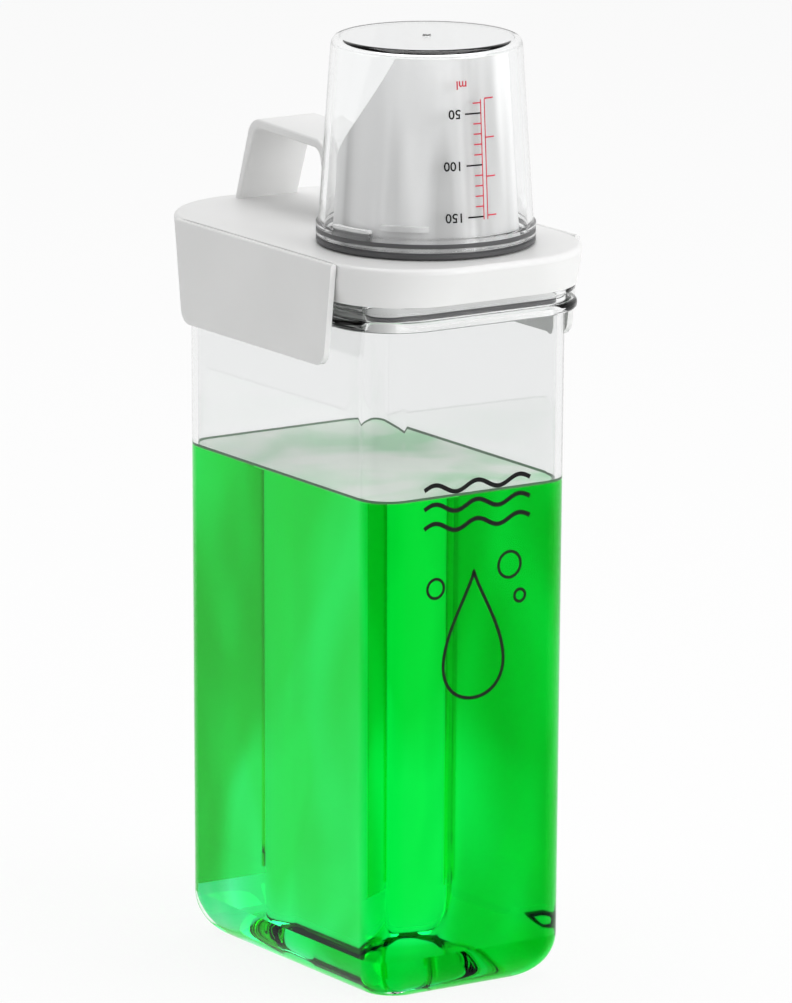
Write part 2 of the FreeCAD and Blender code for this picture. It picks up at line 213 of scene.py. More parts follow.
def rounded_path(corners, steps):
    """Points along a path of (offset, height, radius) corners, each rounded by its radius."""
    path = [Vector(corners[0][:2])]
    for before, here, after in zip(corners, corners[1:], corners[2:]):
        corner = Vector(here[:2])
        radius = here[2]
        if radius == 0:
            path.append(corner)
            continue
        to_before = (Vector(before[:2]) - corner).normalized()
        to_after = (Vector(after[:2]) - corner).normalized()
        half = to_before.angle(to_after) / 2
        centre = corner + (to_before + to_after).normalized() * radius / math.sin(half)
        start = corner + to_before * radius / math.tan(half) - centre
        end = corner + to_after * radius / math.tan(half) - centre
        first = math.atan2(start.y, start.x)
        turn = math.atan2(end.y, end.x) - first
        turn = (turn + math.pi) % (2 * math.pi) - math.pi
        for step in range(steps + 1):
            angle = first + turn * step / steps
            path.append(centre + radius * Vector((math.cos(angle), math.sin(angle))))
    path.append(Vector(corners[-1][:2]))
    return path


def bottle_ring(point, steps=18):
    """Plan of the bottle at a path point (offset, height, corner): x, y and outward direction."""
    s = sizes_of("bottle")
    offset, radius = point.x, point.z
    ring = []
    for quarter in range(4):
        centre_x = (s.half_length + offset - radius) * (1 if quarter in (0, 3) else -1)
        centre_y = (s.half_width + offset - radius) * (1 if quarter in (0, 1) else -1)
        for step in range(steps + 1):
            angle = (quarter + step / steps) * math.pi / 2
            across, along = math.cos(angle), math.sin(angle)
            ring.append((centre_x + radius * across, centre_y + radius * along, across, along))
    return ring


def cup_ring(point, steps=144):
    """Circle about the cup's axis: x, y and outward direction at each point."""
    radius = point.x
    ring = []
    for step in range(steps):
        angle = 2 * math.pi * step / steps
        across, along = math.cos(angle), math.sin(angle)
        ring.append((CUP_AXIS_X + radius * across, radius * along, across, along))
    return ring


def path_normals(path, crease):
    """For each stretch of a path, the outward (offset, height) direction at its two ends."""
    plain = []
    for here, after in zip(path, path[1:]):
        run = after - here
        plain.append((Vector((run.y, -run.x)).normalized(), run.xy.length))
    ends = [[normal.copy(), normal.copy()] for normal, _ in plain]
    for index in range(len(plain) - 1):
        (a, a_long), (b, b_long) = plain[index], plain[index + 1]
        if a.length and b.length and a.angle(b) < crease:
            mixed = (a * a_long + b * b_long).normalized()
            ends[index][1] = mixed
            ends[index + 1][0] = mixed
    return ends


def swept_mesh(name, path, ring, crease=math.radians(32)):
    """Closed skin of a ring carried along a path of (offset, height), with true normals."""
    clean = [path[0]]
    for point in path[1:]:
        if (point.xy - clean[-1].xy).length > 1e-7:
            clean.append(point)
    ends = path_normals(clean, crease)
    rings = [ring(point) for point in clean]
    count = len(rings[0])
    points = [(x, y, point.y) for point, loop in zip(clean, rings) for x, y, _, _ in loop]
    last = (len(clean) - 1) * count
    faces = [tuple(reversed(range(count)))]
    normals = [(0, 0, -1)] * count
    for level, (start, end) in enumerate(ends):
        low, high = level * count, (level + 1) * count
        for index in range(count):
            after = (index + 1) % count
            faces.append((low + index, low + after, high + after, high + index))
            for spot, slope, loop in ((index, start, rings[level]), (after, start, rings[level]),
                                      (after, end, rings[level + 1]), (index, end, rings[level + 1])):
                across, along = loop[spot][2:]
                normals.append((across * slope.x, along * slope.x, slope.y))
    faces.append(tuple(range(last, last + count)))
    normals += [(0, 0, 1)] * count
    mesh = bpy.data.meshes.new(name)
    mesh.from_pydata(points, [], faces)
    mesh.polygons.foreach_set("use_smooth", [True] * len(faces))
    mesh.normals_split_custom_set(normals)
    return mesh


def place(name, mesh, material, body):
    """New piece in the scene that rides on a body and takes a finish slot."""
    piece = bpy.data.objects.new(name, mesh)
    bpy.context.scene.collection.objects.link(piece)
    mesh.materials.append(material)
    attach(piece, body)
    return piece


def skin_over(loops, closed):
    """Points and faces over equal loops of points: joined into a ring, or capped at both ends."""
    count = len(loops[0])
    points = [point for loop in loops for point in loop]
    faces = []
    for index in range(len(loops) if closed else len(loops) - 1):
        low, high = count * index, count * ((index + 1) % len(loops))
        for spot in range(count):
            after = (spot + 1) % count
            faces.append((low + spot, high + spot, high + after, low + after))
    if not closed:
        faces.append(tuple(range(count)))
        faces.append(tuple(reversed(range(len(points) - count, len(points)))))
    return points, faces


def join_meshes(name, parts):
    """One mesh from several (points, faces) parts."""
    points, faces = [], []
    for part_points, part_faces in parts:
        start = len(points)
        points += part_points
        faces += [tuple(start + index for index in face) for face in part_faces]
    mesh = bpy.data.meshes.new(name)
    mesh.from_pydata(points, [], faces)
    return mesh


# Shader groups and materials

def shader_group(name, inputs, outputs):
    """Empty node group with named float inputs (name, default) and outputs."""
    group = bpy.data.node_groups.new(name, "ShaderNodeTree")
    for label, default in inputs:
        socket = group.interface.new_socket(label, in_out="INPUT", socket_type="NodeSocketFloat")
        socket.default_value = default
    for label in outputs:
        group.interface.new_socket(label, in_out="OUTPUT", socket_type="NodeSocketFloat")
    return group


def add_node(tree, kind, links=None, **values):
    """Node with input values set by socket name and links made from (node, output) pairs."""
    node = tree.nodes.new(kind)
    for label, value in values.items():
        node.inputs[label.replace("_", " ")].default_value = value
    for label, (source, output) in (links or {}).items():
        tree.links.new(source.outputs[output], node.inputs[label])
    return node


def add_math(tree, operation, *inputs, clamp=False):
    """Output of a Math node; each input is a number or another node's output."""
    node = tree.nodes.new("ShaderNodeMath")
    node.operation = operation
    node.use_clamp = clamp
    for socket, value in zip(node.inputs, inputs):
        if isinstance(value, bpy.types.NodeSocket):
            tree.links.new(value, socket)
        else:
            socket.default_value = value
    return node.outputs[0]


def add_noise(group, vector, scale, **values):
    """Noise over a vector output, with its scale from another output."""
    noise = add_node(group, "ShaderNodeTexNoise", {"Vector": vector, "Scale": scale}, **values)
    return noise.outputs["Fac"]


def mix_shaders(tree, factor, first, second, target):
    """Two shaders mixed by a factor onto the surface of a material or world."""
    mixed = tree.nodes.new("ShaderNodeMixShader")
    for socket, output in zip(mixed.inputs, (factor, first.outputs[0], second.outputs[0])):
        tree.links.new(output, socket)
    tree.links.new(mixed.outputs[0], tree.nodes[target].inputs["Surface"])


def moulding_grain():
    """Fine grain, slow tone drift and a matching roughness for opaque mouldings."""
    if "moulding_grain" in bpy.data.node_groups:
        return bpy.data.node_groups["moulding_grain"]
    group = shader_group("moulding_grain", (("Scale", 1800.0), ("Drift", 22.0), ("Gloss", 0.36),
                                            ("Gloss Spread", 0.1)), ("Height", "Tone", "Roughness"))
    source = group.nodes.new("NodeGroupInput")
    sink = group.nodes.new("NodeGroupOutput")
    place_on = group.nodes.new("ShaderNodeTexCoord")
    fine = add_noise(group, (place_on, "Object"), (source, "Scale"), Detail=3.0, Roughness=0.6)
    slow = add_noise(group, (place_on, "Object"), (source, "Drift"), Detail=2.0, Roughness=0.5)
    gloss = add_math(group, "MULTIPLY_ADD", slow, source.outputs["Gloss Spread"], source.outputs["Gloss"])
    group.links.new(fine, sink.inputs["Height"])
    group.links.new(slow, sink.inputs["Tone"])
    group.links.new(gloss, sink.inputs["Roughness"])
    return group


def flow_ripple():
    """Slow upright waviness of clear moulded walls, with faint haze along the flow."""
    if "flow_ripple" in bpy.data.node_groups:
        return bpy.data.node_groups["flow_ripple"]
    group = shader_group("flow_ripple", (("Scale", 60.0), ("Haze", 0.02)), ("Height", "Roughness"))
    source = group.nodes.new("NodeGroupInput")
    sink = group.nodes.new("NodeGroupOutput")
    place_on = group.nodes.new("ShaderNodeTexCoord")
    upright = (1.0, 1.0, 0.12)
    stretch = add_node(group, "ShaderNodeMapping", {"Vector": (place_on, "Object")}, Scale=upright)
    wave = add_noise(group, (stretch, "Vector"), (source, "Scale"), Detail=1.0, Roughness=0.4)
    haze = add_math(group, "MULTIPLY", wave, source.outputs["Haze"])
    group.links.new(wave, sink.inputs["Height"])
    group.links.new(haze, sink.inputs["Roughness"])
    return group


def slow_swirl():
    """Slow upright swirls, for tone changes in a liquid and in the painted reflection film on it, and for
    the spout's painted shade bands.
    """
    if "slow_swirl" in bpy.data.node_groups:
        return bpy.data.node_groups["slow_swirl"]
    group = shader_group("slow_swirl", (("Scale", 15.0), ("Stretch", 0.5), ("Contrast", 7.0)), ("Tone",))
    source = group.nodes.new("NodeGroupInput")
    sink = group.nodes.new("NodeGroupOutput")
    place_on = group.nodes.new("ShaderNodeTexCoord")
    axes = add_node(group, "ShaderNodeCombineXYZ", {"Z": (source, "Stretch")}, X=1.0, Y=1.0)
    stretch = add_node(group, "ShaderNodeMapping",
                       {"Vector": (place_on, "Object"), "Scale": (axes, "Vector")})
    swirl = add_noise(group, (stretch, "Vector"), (source, "Scale"),
                      Detail=2.0, Roughness=0.45, Distortion=0.6)
    middle = 0.5
    centred = add_math(group, "SUBTRACT", swirl, middle)
    tone = add_math(group, "MULTIPLY_ADD", centred, source.outputs["Contrast"], middle, clamp=True)
    group.links.new(tone, sink.inputs["Tone"])
    return group


def new_material(name):
    """Material with a bare Principled shader; returns material, node tree and shader."""
    material = bpy.data.materials.new(name)
    material.use_nodes = True
    return material, material.node_tree, material.node_tree.nodes["Principled BSDF"]


def place_group(tree, group, **values):
    """Shader group in a material with its own values."""
    node = tree.nodes.new("ShaderNodeGroup")
    node.node_tree = group
    for label, value in values.items():
        node.inputs[label.replace("_", " ")].default_value = value
    return node


def tinted(tone, share):
    """Opaque colour at a share of a tone."""
    return tuple(share * part for part in tone[:3]) + (1.0,)


def add_bump(tree, shader, source, strength, distance):
    """Bump on a shader's surface from a group's height."""
    bump = tree.nodes.new("ShaderNodeBump")
    bump.inputs["Strength"].default_value = strength
    bump.inputs["Distance"].default_value = distance
    tree.links.new(source.outputs["Height"], bump.inputs["Height"])
    tree.links.new(bump.outputs["Normal"], shader.inputs["Normal"])


def mix_colours(tree, shader, factor, low, high):
    """Base colour between two tones, by the factor from another node's output."""
    mix = tree.nodes.new("ShaderNodeMix")
    mix.data_type = "RGBA"
    factor_in, low_in, high_in, colour_out = mix.inputs[0], mix.inputs[6], mix.inputs[7], mix.outputs[2]
    low_in.default_value = low
    high_in.default_value = high
    tree.links.new(factor, factor_in)
    tree.links.new(colour_out, shader.inputs["Base Color"])


def add_grain(tree, shader, gloss, scale, depth, strength=0.25):
    """Grain on a shader's gloss and surface; returns the output for its tone."""
    grain = place_group(tree, moulding_grain(), Scale=scale, Gloss=gloss)
    tree.links.new(grain.outputs["Roughness"], shader.inputs["Roughness"])
    add_bump(tree, shader, grain, strength, depth)
    return grain.outputs["Tone"]


def moulded_material(name, low, high, gloss, grain_scale, grain_depth):
    """Opaque moulded plastic or silicone with grain, tone drift and uneven gloss."""
    material, tree, shader = new_material(name)
    mix_colours(tree, shader, add_grain(tree, shader, gloss, grain_scale, grain_depth), low, high)
    return material


def clear_material(name, tint, ior, ripple_scale, haze, ripple):
    """Clear moulded plastic with slow waviness and, where it has any, a trace of haze."""
    material, tree, shader = new_material(name)
    shader.inputs["Base Color"].default_value = tint
    shader.inputs["Transmission Weight"].default_value = 1.0
    shader.inputs["IOR"].default_value = ior
    shader.inputs["Roughness"].default_value = 0.0
    if haze or ripple:
        flow = place_group(tree, flow_ripple(), Scale=ripple_scale, Haze=haze)
        add_bump(tree, shader, flow, 0.2, ripple)
        if haze:
            tree.links.new(flow.outputs["Roughness"], shader.inputs["Roughness"])
    return material


def liquid_material(name, ior):
    """Clear liquid with slow swirls that takes light out along its depth."""
    tones = sizes_of("finish")
    material = clear_material(name, tones.deep, ior, *LIQUID_FLOW)
    tree = material.node_tree
    swirl = place_group(tree, slow_swirl())
    mix_colours(tree, tree.nodes["Principled BSDF"], swirl.outputs["Tone"], tones.deep, tones.light)
    absorb = tree.nodes.new("ShaderNodeVolumeAbsorption")
    absorb.inputs["Color"].default_value = tones.depth
    absorb.inputs["Density"].default_value = LIQUID_DENSITY
    tree.links.new(absorb.outputs["Volume"], tree.nodes["Material Output"].inputs["Volume"])
    return material


def film_material(name, low, high):
    """Opaque film with slow swirls and grain: the painted reflection on a liquid's surface, and the
    painted shade of the dark line at its edge.
    """
    material, tree, shader = new_material(name)
    swirl = place_group(tree, slow_swirl(), Scale=22.0, Stretch=1.0, Contrast=5.0)
    mix_colours(tree, shader, swirl.outputs["Tone"], low, high)
    add_grain(tree, shader, *FILM_GRAIN, strength=0.2)
    return material


def dress(node, material):
    """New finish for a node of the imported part."""
    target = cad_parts[node]
    target.data.materials.clear()
    target.data.materials.append(material)


def white_material(name, grain):
    """White moulded plastic with its own gloss and grain."""
    tones = sizes_of("finish")
    return moulded_material(name, tones.white, tones.shade, *grain)


# Bottle and liquid

def wall_offset(height):
    """How far the drafted wall has leaned out at a height."""
    s = sizes_of("bottle")
    return s.draft * height / s.rim_top


def base_curve(offset, low, steps=14):
    """Path points of the rounding from a base up into the wall that lies at an offset."""
    s = sizes_of("bottle")
    points = []
    for step in range(steps + 1):
        turn = math.pi / 2 * step / steps
        height = low + (s.base_height - low) * (1 - math.cos(turn))
        inset = s.base_inset * (1 - math.sin(turn))
        wall = wall_offset(height) + offset
        points.append(Vector((wall - inset, height, s.corner + wall)))
    return points


def with_corners(path):
    """Path points with their plan corner, which opens out towards the rim rings."""
    s = sizes_of("bottle")
    points = []
    for offset, height in path:
        share = min(max((offset - s.draft) / s.groove_reach, 0), 1)
        opening = (s.rim_corner - s.corner - s.draft) * share
        points.append(Vector((offset, height, s.corner + offset + opening)))
    return points


def bottle_path():
    """Path of the bottle's skin: hollow base, outer wall, rim rings, inner wall and floor."""
    s = sizes_of("bottle")
    foot = -s.base_inset - s.recess_inset
    bead_top = s.rim_top - s.lip_height - s.groove
    bead_low = bead_top - s.bead_height
    at_rim = s.draft
    inner = at_rim - s.wall
    level = sizes_of("liquid").level
    wall_low = s.base_height + WALL_START
    hollow_round, foot_round, foot_flat, soft = 0.0005, 0.0003, 0.001, 0.0006
    bead_round, lip_round, mouth_round = 0.42 * s.bead_height, 0.42 * s.lip_height, 0.0007
    under = rounded_path([(foot - s.recess_depth, s.recess_depth, 0), (foot, s.recess_depth, hollow_round),
                          (foot, 0, foot_round), (foot + foot_flat, 0, 0)], steps=6)
    rim = rounded_path([
        (wall_offset(wall_low), wall_low, 0),
        (wall_offset(level), level, 0),
        (wall_offset(bead_low), bead_low, soft),
        (at_rim + s.bead_reach, bead_low, bead_round),
        (at_rim + s.bead_reach, bead_top, bead_round),
        (at_rim + s.groove_reach, bead_top, soft),
        (at_rim + s.groove_reach, bead_top + s.groove, soft),
        (at_rim + s.lip_reach, bead_top + s.groove, lip_round),
        (at_rim + s.lip_reach, s.rim_top, lip_round),
        (inner, s.rim_top, mouth_round),
        (wall_offset(level) - s.wall, level, 0),
        (wall_offset(wall_low) - s.wall, wall_low, 0)], steps=10)
    foot_corner = s.corner - s.recess_inset / 2
    path = [Vector((*point, foot_corner)) for point in under]
    path += base_curve(0, 0) + with_corners(rim) + base_curve(-s.wall, s.floor)[::-1]
    path.append(Vector((foot, s.floor, foot_corner)))
    return path


def liquid_path():
    """Path of the liquid's skin up the wetted wall, with its edge climbing at the surface."""
    s = sizes_of("bottle")
    q = sizes_of("liquid")
    skin = q.wetting - s.wall
    low = s.floor - q.wetting
    foot = -s.base_inset - s.recess_inset
    wall_low = s.base_height + WALL_START
    edge = wall_offset(q.level) + skin
    level_run, tip_round, lip_round = 0.004, 0.0001, 0.0002
    # The climb, the lip and the run-out of the edge are shares of its height
    surface = rounded_path([
        (wall_offset(wall_low) + skin, wall_low, 0),
        (edge, q.level, 0),
        (edge, q.level + q.meniscus, tip_round),
        (edge - 0.3 * q.meniscus, q.level + 0.8 * q.meniscus, lip_round),
        (edge - 1.6 * q.meniscus, q.level, 2.0 * q.meniscus),
        (edge - level_run, q.level, 0)], steps=10)
    foot_corner = s.corner - s.recess_inset / 2
    path = [Vector((foot, low, foot_corner))] + base_curve(skin, low) + with_corners(surface)
    path.append(Vector((foot, q.level, foot_corner)))
    return path


def film_path():
    """Path round the thin film, a painted reflection, that lies just above the surface."""
    s = sizes_of("bottle")
    q = sizes_of("liquid")
    low = q.level + q.film_gap
    edge = wall_offset(q.level) - s.wall - 1.3 * q.meniscus
    corner = s.corner + edge
    rim = 0.002
    return [Vector((edge - rim, low, corner - rim)), Vector((edge, low, corner)),
            Vector((edge, low + q.film, corner)), Vector((edge - rim, low + q.film, corner - rim))]


class DISPENSER_OT_bottle(bpy.types.Operator):
    """Build the clear bottle with its rim rings and hollow base"""
    bl_idname = "dispenser.build_bottle"
    bl_label = "Clear bottle"

    def execute(self, context):
        tones = sizes_of("finish")
        s = sizes_of("bottle")
        level = sizes_of("liquid").level
        material = clear_material("clear_bottle_plastic", tones.clear, PLASTIC_IOR, *WALL_FLOW)
        mesh = swept_mesh("bottle_shell", bottle_path(), bottle_ring)
        shell = place("bottle_shell", mesh, material, "bottle")
        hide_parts("bottle_body")
        shell.visible_shadow = False
        wetted = clear_material("wetted_bottle_plastic", tones.wet, NEUTRAL_IOR, *STILL_FLOW)
        filled = clear_material("filled_bottle_plastic", tones.wet, FILLED_IOR, *FILLED_FLOW)
        base = clear_material("filled_base_plastic", tones.wet, BASE_IOR, *WALL_FLOW)
        rim = clear_material("clear_rim_plastic", tones.clear_rim, RIM_IOR, *WALL_FLOW)
        for before_liquid in (filled, base):
            shader = before_liquid.node_tree.nodes["Principled BSDF"]
            shader.inputs["Specular Tint"].default_value = tones.gleam
        in_wetted, in_filled, in_base, in_rim = range(1, 5)
        for finish in (wetted, filled, base, rim):
            mesh.materials.append(finish)
        bead_root = 0.0005
        rim_low = s.rim_top - s.lip_height - s.groove - s.bead_height - bead_root
        rows = len(mesh.polygons) - 2
        for polygon in mesh.polygons:
            middle, facing = polygon.center, polygon.normal
            inward = middle.x * facing.x + middle.y * facing.y < 0
            inside = polygon.index > rows / 2 and (inward or facing.z > 0.5)
            if inside and middle.z < level:
                polygon.material_index = in_wetted
            elif middle.z < s.base_height:
                polygon.material_index = in_base
            elif middle.z < level:
                polygon.material_index = in_filled
            elif middle.z > rim_low:
                polygon.material_index = in_rim
        return {"FINISHED"}


class DISPENSER_OT_liquid(bpy.types.Operator):
    """Fill the bottle with detergent up to its level"""
    bl_idname = "dispenser.fill_detergent"
    bl_label = "Detergent"

    def execute(self, context):
        tones = sizes_of("finish")
        q = sizes_of("liquid")
        material = liquid_material("green_liquid", NEUTRAL_IOR)
        mesh = swept_mesh("detergent_pool", liquid_path(), bottle_ring)
        pool = place("detergent_pool", mesh, material, "bottle")
        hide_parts("detergent_fill")
        # The meniscus takes an opaque dark green: painted shade for the dark line along the liquid's edge.
        mesh.materials.append(film_material("painted_shade_liquid_edge", tones.edge, tinted(tones.edge, 1.6)))
        mesh.materials.append(liquid_material("green_surface", FILLED_IOR))
        in_painted_shade_edge, in_surface = 1, 2
        for polygon in mesh.polygons:
            if polygon.center.z > q.level + 0.25 * q.meniscus:
                polygon.material_index = in_painted_shade_edge
            elif polygon.normal.z > 0.5:
                polygon.material_index = in_surface
        # Opaque pale film just above the liquid: a painted reflection of the surface's pale look.
        film = film_material("painted_reflection_film", tones.film, tones.film_light)
        painted_reflection = swept_mesh("painted_reflection_film", film_path(), bottle_ring)
        place("painted_reflection_film", painted_reflection, film, "bottle")
        return {"FINISHED"}


# Lid, flaps, handle, spout and seals

class DISPENSER_OT_lid(bpy.types.Operator):
    """Finish the lid, the carry handle and the two lock flaps"""
    bl_idname = "dispenser.finish_lid"
    bl_label = "Lid, handle and flaps"

    def execute(self, context):
        lid = white_material("white_lid_plastic", LID_GRAIN)
        dress("lid_cover", lid)
        dress("carry_handle", lid)
        flap = white_material("white_flap_plastic", FLAP_GRAIN)
        dress("left_lock_flap", flap)
        dress("right_lock_flap", flap)
        return {"FINISHED"}


class DISPENSER_OT_spout(bpy.types.Operator):
    """Finish the scoop-mouthed pour spout"""
    bl_idname = "dispenser.finish_spout"
    bl_label = "Pour spout"

    def execute(self, context):
        tones = sizes_of("finish")
        material, tree, shader = new_material("white_spout_plastic")
        add_grain(tree, shader, *SPOUT_GRAIN)
        # Painted shade: upright bands from dark grey to a white darker than the lid's stand in for the
        # shading across the spout.
        painted_shade_bands = place_group(tree, slow_swirl(), Scale=70.0, Stretch=0.03, Contrast=4.0)
        mix_colours(tree, shader, painted_shade_bands.outputs["Tone"], tones.spout_shade, tones.spout)
        dress("pour_spout", material)
        return {"FINISHED"}


class DISPENSER_OT_seals(bpy.types.Operator):
    """Finish the silicone rings of the lid and the cup"""
    bl_idname = "dispenser.finish_seals"
    bl_label = "Seal rings"

    def execute(self, context):
        tone = sizes_of("finish").silicone
        silicone = moulded_material("dark_silicone", tone, tinted(tone, 1.5), *SEAL_GRAIN)
        dress("lid_seal", silicone)
        dress("cup_seal", silicone)
        return {"FINISHED"}


# Measuring cup

def cup_radius(height):
    """Outer radius of the cup's wall at a height."""
    s = sizes_of("cup")
    share = (height - CUP_LOW.z - s.rim_height) / (s.top - CUP_LOW.z - s.rim_height)
    return s.low_radius + (s.high_radius - s.low_radius) * share


def cup_path():
    """Path of the cup's skin: ceiling, inner wall, rim with its groove, outer wall, top and gate mark."""
    s = sizes_of("cup")
    low = CUP_LOW.z
    groove_low = low + s.rim_foot
    groove_high = groove_low + s.groove_height
    groove = s.rim_radius - s.groove_depth
    ceiling = s.top - s.wall
    slope, soft, small, mark = 0.0004, 0.0004, 0.0003, 0.0002
    inner_round = 0.0012
    corners = [
        (s.high_radius / 2, ceiling, 0),
        (cup_radius(ceiling) - s.wall, ceiling, inner_round),
        (cup_radius(low) - s.wall, low, soft),
        (s.rim_radius, low, soft),
        (s.rim_radius, groove_low, small),
        (groove, groove_low + slope, small),
        (groove, groove_high - slope, small),
        (s.rim_radius, groove_high, small),
        (s.rim_radius, low + s.rim_height - slope, small),
        (s.low_radius, low + s.rim_height, small),
        (s.high_radius, s.top, s.top_round),
        (s.gate_radius, s.top, mark),
        (s.gate_radius, s.top + s.gate_height, mark),
        (s.gate_radius / 2, s.top + s.gate_height, 0),
    ]
    return rounded_path(corners, steps=7)


def ring_loop(outline, angle):
    """Outline of (radius, height) points at an angle about the cup's axis."""
    across, along = math.cos(angle), math.sin(angle)
    return [(CUP_AXIS_X + radius * across, radius * along, height) for radius, height in outline]


def ring_block(low_radius, high_radius, low, high, middle, span, steps=16):
    """Closed block bent along a ring about the cup's axis."""
    outline = [(low_radius, low), (high_radius, low), (high_radius, high), (low_radius, high)]
    angles = [middle + span * (step / steps - 0.5) for step in range(steps + 1)]
    return skin_over([ring_loop(outline, angle) for angle in angles], False)


def ring_band(outline, steps=144):
    """Closed ring about the cup's axis with an outline of (radius, height) points."""
    return skin_over([ring_loop(outline, 2 * math.pi * step / steps) for step in range(steps)], True)


class DISPENSER_OT_cup(bpy.types.Operator):
    """Build the clear measuring cup with its rim, gate mark and locking lugs; a dark band in the rim's
    groove and the lugs' grey tint are painted shade, their bright ribs a painted highlight
    """
    bl_idname = "dispenser.build_cup"
    bl_label = "Measuring cup"

    def execute(self, context):
        s = sizes_of("cup")
        tones = sizes_of("finish")
        material = clear_material("clear_cup_plastic", tones.clear_cup, PLASTIC_IOR, *CUP_FLOW)
        mesh = swept_mesh("cup_shell", cup_path(), cup_ring)
        shell = place("cup_shell", mesh, material, "cup")
        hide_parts("measuring_cup")
        shell.visible_shadow = False
        # Dark band in the rim's groove: painted shade for the dark line seen through the clear rim.
        gap = s.band_gap
        band_low = CUP_LOW.z + s.rim_foot + gap
        band_high = CUP_LOW.z + s.rim_foot + s.groove_height - gap
        band_in = s.rim_radius - s.groove_depth + gap
        band_out = s.rim_radius - gap
        band = ring_band([(band_in, band_low), (band_out - gap, band_low), (band_out, band_low + gap),
                          (band_out, band_high - gap), (band_out - gap, band_high), (band_in, band_high)])
        dark = moulded_material("painted_shade_rim_band", tones.band, tones.silicone, *BAND_GRAIN)
        place("painted_shade_cup_band", join_meshes("painted_shade_cup_band", [band]), dark, "cup")
        low = CUP_LOW.z + s.lug_lift
        inner = cup_radius(low) - s.wall
        # The top strip of each lug is opaque near white: a painted highlight along the clear rib.
        highlight_rib_low = low + s.lug_height - s.lug_rib
        blocks, highlight_ribs = ([ring_block(inner - s.lug_reach, inner + s.lug_root, foot, head,
                                    s.lug_angle + math.pi * index, s.lug_span) for index in range(2)]
                        for foot, head in ((low, highlight_rib_low), (highlight_rib_low, low + s.lug_height)))
        bright = moulded_material("painted_highlight_rib_plastic", tones.rib, tones.white, *HIGHLIGHT_RIB_GRAIN)
        place("painted_highlight_lug_ribs", join_meshes("painted_highlight_lug_ribs", highlight_ribs), bright, "cup")
        # The lugs' haze is their own frosting; their grey tint is painted shade.
        frosted = clear_material("frosted_painted_shade_lug_plastic", tones.clear_lug, PLASTIC_IOR, *LUG_FLOW)
        place("cup_lugs", join_meshes("cup_lugs", blocks), frosted, "cup")
        return {"FINISHED"}


# Prints

def ribbon(stations, width, closed, wrap):
    """Flat printed line along (across, up) stations, laid on a wall by the wrap function."""
    p = sizes_of("print")
    low, high = p.lift, p.lift + p.ink
    count = len(stations)
    loops = []
    for index, here in enumerate(stations):
        before = stations[index - 1] if closed or index else here
        after = stations[(index + 1) % count] if closed or index + 1 < count else here
        run = (Vector(after) - Vector(before)).normalized()
        side = Vector((-run.y, run.x)) * width / 2
        left, right = Vector(here) + side, Vector(here) - side
        loops.append([wrap(spot.x, spot.y, lift) for spot, lift in
                      ((left, low), (right, low), (right, high), (left, high))])
    return skin_over(loops, closed)


def on_cup(across, height, lift):
    """Point on the cup's outer wall: across is measured round the wall from the +X side."""
    radius = cup_radius(height)
    angle = across / radius
    return (CUP_AXIS_X + (radius + lift) * math.cos(angle), (radius + lift) * math.sin(angle), height)


def on_front(across, height, lift):
    """Point on the bottle's +X wall, carried on round its upright corners."""
    s = sizes_of("bottle")
    grow = wall_offset(height)
    radius = s.corner + grow
    flat = s.half_width - s.corner
    middle_x = s.half_length - s.corner
    if abs(across) <= flat:
        return (middle_x + radius + lift, across, height)
    angle = (abs(across) - flat) / radius
    y = flat + (radius + lift) * math.sin(angle)
    return (middle_x + (radius + lift) * math.cos(angle), math.copysign(y, across), height)


def figure_part(text, size, across, height):
    """Printed figures on the cup, standing on their heads as on a cup that is turned over."""
    p = sizes_of("print")
    curve = bpy.data.curves.new("figures", "FONT")
    curve.body = text
    curve.size = size
    curve.align_x = "LEFT"
    curve.extrude = p.ink / 2
    curve.offset = 0.00006
    curve.resolution_u = 4
    carrier = bpy.data.objects.new("figures", curve)
    bpy.context.scene.collection.objects.link(carrier)
    bpy.context.view_layer.update()
    graph = bpy.context.evaluated_depsgraph_get()
    mesh = bpy.data.meshes.new_from_object(carrier.evaluated_get(graph))
    foot = height + size * 0.35
    points = [on_cup(across - v.co.x, foot - v.co.y, p.lift + p.ink / 2 + v.co.z) for v in mesh.vertices]
    faces = [tuple(polygon.vertices) for polygon in mesh.polygons]
    bpy.data.objects.remove(carrier)
    bpy.data.curves.remove(curve)
    bpy.data.meshes.remove(mesh)
    return points, faces


def ink_material(name, tone):
    """Dull printing ink with faint unevenness."""
    lighter = tuple(min(1.0, 1.4 * part + 0.004) for part in tone[:3]) + (1.0,)
    material = moulded_material(name, tone, lighter, *INK_GRAIN)
    shader = material.node_tree.nodes["Principled BSDF"]
    shader.inputs["Specular IOR Level"].default_value = DULL_SPECULAR
    return material


